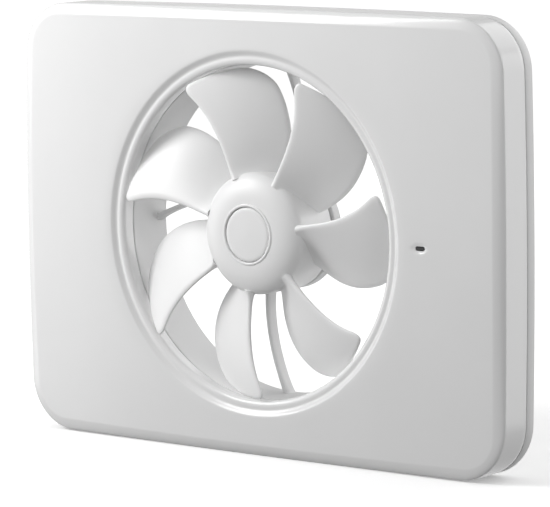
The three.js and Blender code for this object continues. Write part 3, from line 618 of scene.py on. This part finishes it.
def blade_point(share, chord):
    lead_angle = 114.8 - 7.8 * share + 14.8 * share**2
    trail_angle = 73 - 4 * share + 23.5 * share**2
    lead_y = FACE_Y + 0.4 - 1.1 * share**2
    trail_y = -5.3 - 9.8 * share + 6.7 * share**2
    start = corner_loss(share, 0.88, 0.12)
    end = 1 - corner_loss(share, 0.8, 0.28)
    along = start + (end - start) * chord
    cambered = along + 0.35 * (along**2 - along)
    radius = BLADE_ROOT_RADIUS + (TIP_RADIUS - BLADE_ROOT_RADIUS) * share
    angle = math.radians(lead_angle + (trail_angle - lead_angle) * along)
    y = lead_y + (trail_y - lead_y) * cambered
    return np.array([radius * math.cos(angle), y, radius * math.sin(angle)])


def blade_normal(share, chord):
    step = 1e-3
    share = min(share, 0.995)
    span = blade_point(min(share + step, 0.996), chord) - blade_point(max(share - step, 0), chord)
    across = blade_point(share, min(chord + step, 1)) - blade_point(share, max(chord - step, 0))
    normal = np.cross(span, across)
    return normal / np.linalg.norm(normal)


def make_blade(number, spans=30, chords=22):
    """One blade: thin at its rounded edges, thicker at its root where it runs into the hub."""
    turn = number * FULL_TURN / BLADES
    shares = [math.sin(i / spans * math.pi / 2) for i in range(spans + 1)]
    shares[0] = 0.0
    loops = []
    for share in shares:
        thickness = 2 - 0.7 * share + 2.4 * math.exp(-share * 22)
        rim = []
        for side in (1, -1):
            steps = range(chords + 1) if side == 1 else range(chords, -1, -1)
            for j in steps:
                chord = (1 - math.cos(math.pi * j / chords)) / 2
                edge = min(chord, 1 - chord)
                thin = min(1.0, 0.16 + math.sqrt(max(edge, 0) * 14)) if edge < 0.06 else 1.0
                near_tip = math.sqrt(max(0.0, 1 - max(0.0, (share - 0.975) / 0.025) ** 2)) * 0.8 + 0.2
                offset = side * thickness * thin * near_tip / 2
                rim.append(blade_point(share, chord) + blade_normal(share, chord) * offset)
        loops.append(rim)
    cos_t, sin_t = math.cos(turn), math.sin(turn)
    loops = [[(x * cos_t + z * sin_t, y, -x * sin_t + z * cos_t) for x, y, z in loop] for loop in loops]
    verts, faces = loft(loops, closed_rows=False)
    count = len(loops[0])
    last = (len(loops) - 1) * count
    half = count // 2
    for base in (0, last):
        for j in range(half - 1):
            a, b = base + j, base + j + 1
            c, d = base + count - 2 - j, base + count - 1 - j
            faces.append((a, b, c, d))
    return new_object("blade", verts, faces, BLADE_WHITE)


def make_impeller():
    """A domed hub with a recess and a raised ring for its cap, joined to its blades."""
    seat = HUB_CAP_RADIUS + HUB_CAP_GAP
    bead_end = seat + BEAD_WIDTH
    profile = [(0, HUB_NOSE_Y + 1.3), (seat, HUB_NOSE_Y + 1.3)]
    bead_steps = 8
    for i in range(bead_steps + 1):
        swing = i / bead_steps * math.pi
        radius = seat + BEAD_WIDTH / 2 * (1 - math.cos(swing))
        profile.append((radius, HUB_NOSE_Y - BEAD_HEIGHT * math.sin(swing)))
    dome_steps = 16
    for i in range(1, dome_steps + 1):
        swing = i / dome_steps * math.pi / 2
        radius = bead_end + (HUB_RADIUS - bead_end) * math.sin(swing)
        profile.append((radius, HUB_NOSE_Y + HUB_DOME_DEPTH * (1 - math.cos(swing))))
    profile += [(HUB_RADIUS, y) for y in (-14, -8, HUB_REAR_Y - 0.4)]
    profile += [(HUB_RADIUS - 0.4, HUB_REAR_Y), (HUB_BORE, HUB_REAR_Y), (HUB_BORE, HUB_INNER_Y + 1)]
    profile += [(HUB_BORE - 1, HUB_INNER_Y), (0, HUB_INNER_Y)]
    wheel = turned("fan_wheel", profile, BLADE_WHITE, 160)
    for number in range(BLADES):
        boolean(wheel, make_blade(number), "UNION")
    finish_surface(wheel, BLADE_WHITE, 40)
    return wheel


def make_hub_cap():
    dome = [(HUB_CAP_RADIUS - 0.6 - i * 1.0, HUB_NOSE_Y - 0.12 - 0.28 * (i / 10)) for i in range(0, 10)]
    edge = [(HUB_CAP_RADIUS, HUB_NOSE_Y + 0.35), (HUB_CAP_RADIUS - 0.2, HUB_NOSE_Y + 0.05)]
    outline = [(0, HUB_NOSE_Y + 1), (HUB_CAP_RADIUS, HUB_NOSE_Y + 1), *edge, *dome, (0, HUB_NOSE_Y - 0.4)]
    return turned("hub_badge", outline, BLADE_WHITE, 128)


# ---------- pieces on their bodies ----------
def place(piece, body, slot, *nodes):
    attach(piece, body)
    if nodes:
        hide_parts(*nodes)


place(make_cover(), "front_cover", "gloss_white_plastic", "front_cover")
place(make_window(), "front_cover", "dark_window", "sensor_window")
place(make_back_plate(), "housing", "satin_white_plastic", "back_plate")
place(make_duct(), "housing", "satin_white_plastic", "duct_ring", "motor_carrier")
place(make_impeller(), "impeller", "gloss_white_plastic", "impeller")
place(make_hub_cap(), "impeller", "gloss_white_plastic", "hub_cap")

# ---------- CAD nodes that stay, with their materials ----------
SLOT_MATERIALS = {
    "gloss_white_plastic": GLOSS_WHITE,
    "satin_white_plastic": SATIN_WHITE,
    "dark_window": DARK_LENS,
    "clear_plastic": CLEAR_GUIDE,
    "steel": STEEL,
    "lamination_steel": LAMINATION,
    "ferrite_magnet": FERRITE,
    "copper_wire": COPPER,
    "circuit_board": BOARD,
    "black_plastic": BLACK,
    "yellow_tape": YELLOW_TAPE,
    "grey_rubber": RUBBER,
    "white_cable_sheath": SHEATH,
    "grey_plastic": GREY_PLASTIC,
}
SMALL_EDGE = 0.00018
for subpart in frame["record"]["subparts"]:
    node = frame["nodes"][subpart["node"]]
    for material_slot in node.material_slots:
        material_slot.material = SLOT_MATERIALS[subpart["material_slot"]]
    weld = node.modifiers.new("weld", "WELD")
    weld.merge_threshold = 1e-6
    soften = node.modifiers.new("soften", "BEVEL")
    soften.width = SMALL_EDGE
    soften.segments = 2
    soften.limit_method = "ANGLE"
    soften.angle_limit = math.radians(50)


# ---------- camera, light and floor ----------
VIEW_AZIMUTH = math.radians(38.51)
VIEW_ELEVATION = math.radians(7.37)
VIEW_ROLL = math.radians(-0.73)
VIEW_DISTANCE = 1.3903
VIEW_TARGET = Vector((0.0112, FACE_Y * MM, -0.0065))
LENS = 244.5


def make_camera():
    camera = bpy.data.objects.new("camera", bpy.data.cameras.new("camera"))
    bpy.context.scene.collection.objects.link(camera)
    camera.data.lens = LENS
    camera.data.sensor_width = 36
    camera.data.clip_end = 50
    cos_e, sin_e = math.cos(VIEW_ELEVATION), math.sin(VIEW_ELEVATION)
    back = Vector((math.sin(VIEW_AZIMUTH) * cos_e, -math.cos(VIEW_AZIMUTH) * cos_e, sin_e))
    right = (-back).cross(Vector((0, 0, 1))).normalized()
    up = right.cross(-back)
    cos_r, sin_r = math.cos(VIEW_ROLL), math.sin(VIEW_ROLL)
    across, upright = cos_r * right + sin_r * up, -sin_r * right + cos_r * up
    place_at = VIEW_TARGET + back * VIEW_DISTANCE
    turn = Matrix((across, upright, back)).transposed().to_4x4()
    camera.matrix_world = Matrix.Translation(place_at) @ turn
    bpy.context.scene.camera = camera


def area_light(name, place_at, size, power):
    """A square white light that faces the middle of the fan."""
    light = bpy.data.lights.new(name, "AREA")
    light.shape = "SQUARE"
    light.size = size
    light.energy = power
    obj = bpy.data.objects.new(name, light)
    bpy.context.scene.collection.objects.link(obj)
    obj.location = place_at
    obj.rotation_euler = (-Vector(place_at)).to_track_quat("-Z", "Y").to_euler()


def studio_world():
    """White where the camera looks past the object. As light it is stronger from below than from above."""
    world = bpy.data.worlds.new("studio")
    bpy.context.scene.world = world
    world.use_nodes = True
    nodes, links = world.node_tree.nodes, world.node_tree.links
    background = nodes["Background"]
    background.inputs["Color"].default_value = (1, 1, 1, 1)
    coords = nodes.new("ShaderNodeTexCoord")
    parts = nodes.new("ShaderNodeSeparateXYZ")
    links.new(coords.outputs["Generated"], parts.inputs["Vector"])
    height = nodes.new("ShaderNodeMapRange")
    height.inputs["From Min"].default_value = -0.5
    height.inputs["From Max"].default_value = 0.35
    height.inputs["To Min"].default_value = WORLD_BELOW
    height.inputs["To Max"].default_value = WORLD_ABOVE
    links.new(parts.outputs["Z"], height.inputs["Value"])
    path = nodes.new("ShaderNodeLightPath")
    choice = nodes.new("ShaderNodeMix")
    links.new(path.outputs["Is Camera Ray"], choice.inputs["Factor"])
    links.new(height.outputs["Result"], choice.inputs["A"])
    choice.inputs["B"].default_value = 1.05
    links.new(choice.outputs["Result"], background.inputs["Strength"])


def studio_floor():
    reach = 0.9
    corners = [(-reach, -reach, 0), (reach, -reach, 0), (reach, reach, 0), (-reach, reach, 0)]
    mesh = bpy.data.meshes.new("floor")
    mesh.from_pydata(corners, [], [(0, 1, 2, 3)])
    floor = bpy.data.objects.new("floor", mesh)
    bpy.context.scene.collection.objects.link(floor)
    floor.location.z = CAD_BOX[0][2]
    pale = moulded("pale_floor", (0.95, 0.95, 0.95), 0.9, grain=40, bump=0.0, mottle=0.005, specular=0.0)
    shader = pale.node_tree.nodes["Principled BSDF"]
    shader.inputs["Emission Color"].default_value = (1, 1, 1, 1)
    mesh.materials.append(pale)
    # Its glow grows away from the object. The weaker glow near it keeps the object's own shadow and paints
    # extra shade on the floor round the object; the stronger glow far off hides the far edge.
    nodes, links = pale.node_tree.nodes, pale.node_tree.links
    coords = nodes.new("ShaderNodeTexCoord")
    away = nodes.new("ShaderNodeVectorMath")
    away.operation = "LENGTH"
    links.new(coords.outputs["Object"], away.inputs[0])
    glow = nodes.new("ShaderNodeMapRange")
    glow.inputs["From Min"].default_value, glow.inputs["From Max"].default_value = 0.12, 0.28
    glow.inputs["To Min"].default_value, glow.inputs["To Max"].default_value = FLOOR_GLOW
    links.new(away.outputs["Value"], glow.inputs["Value"])
    links.new(glow.outputs["Result"], shader.inputs["Emission Strength"])
    # The camera sees a white floor. The object is lit by a darker one, which still shades what is near it.
    bounce = nodes.new("ShaderNodeBsdfDiffuse")
    bounce.inputs["Color"].default_value = (FLOOR_BOUNCE, FLOOR_BOUNCE, FLOOR_BOUNCE, 1)
    path = nodes.new("ShaderNodeLightPath")
    choice = nodes.new("ShaderNodeMixShader")
    links.new(path.outputs["Is Camera Ray"], choice.inputs["Fac"])
    links.new(bounce.outputs["BSDF"], choice.inputs[1])
    links.new(shader.outputs["BSDF"], choice.inputs[2])
    links.new(choice.outputs["Shader"], nodes["Material Output"].inputs["Surface"])
    floor.visible_glossy = False


WORLD_BELOW = 1.06
WORLD_ABOVE = 0.5
FLOOR_GLOW = (0.26, 0.46)
FLOOR_BOUNCE = 0.15
# Each light's place and width in metres, and its power in watts.
LIGHTS = {
    "key": ((-0.5, -0.47, 0.35), 0.35, 3.45),
    "low_left": ((-1.2, -0.7, -0.05), 0.7, 2.9),
    "side_front": ((1.2, -1.0, 0.1), 0.8, 1.2),
    "left": ((-1.4, -0.1, 0.1), 0.9, 0.9),
    "back": ((0.2, 1.4, 0.8), 1.2, 6.0),
    "back_right": ((0.9, 0.9, 0.1), 0.9, 4.2),
}


def make_studio():
    bpy.context.scene.view_settings.view_transform = "Standard"
    studio_world()
    studio_floor()
    for name, (place_at, size, power) in LIGHTS.items():
        area_light(name, place_at, size, power)


make_camera()
make_studio()
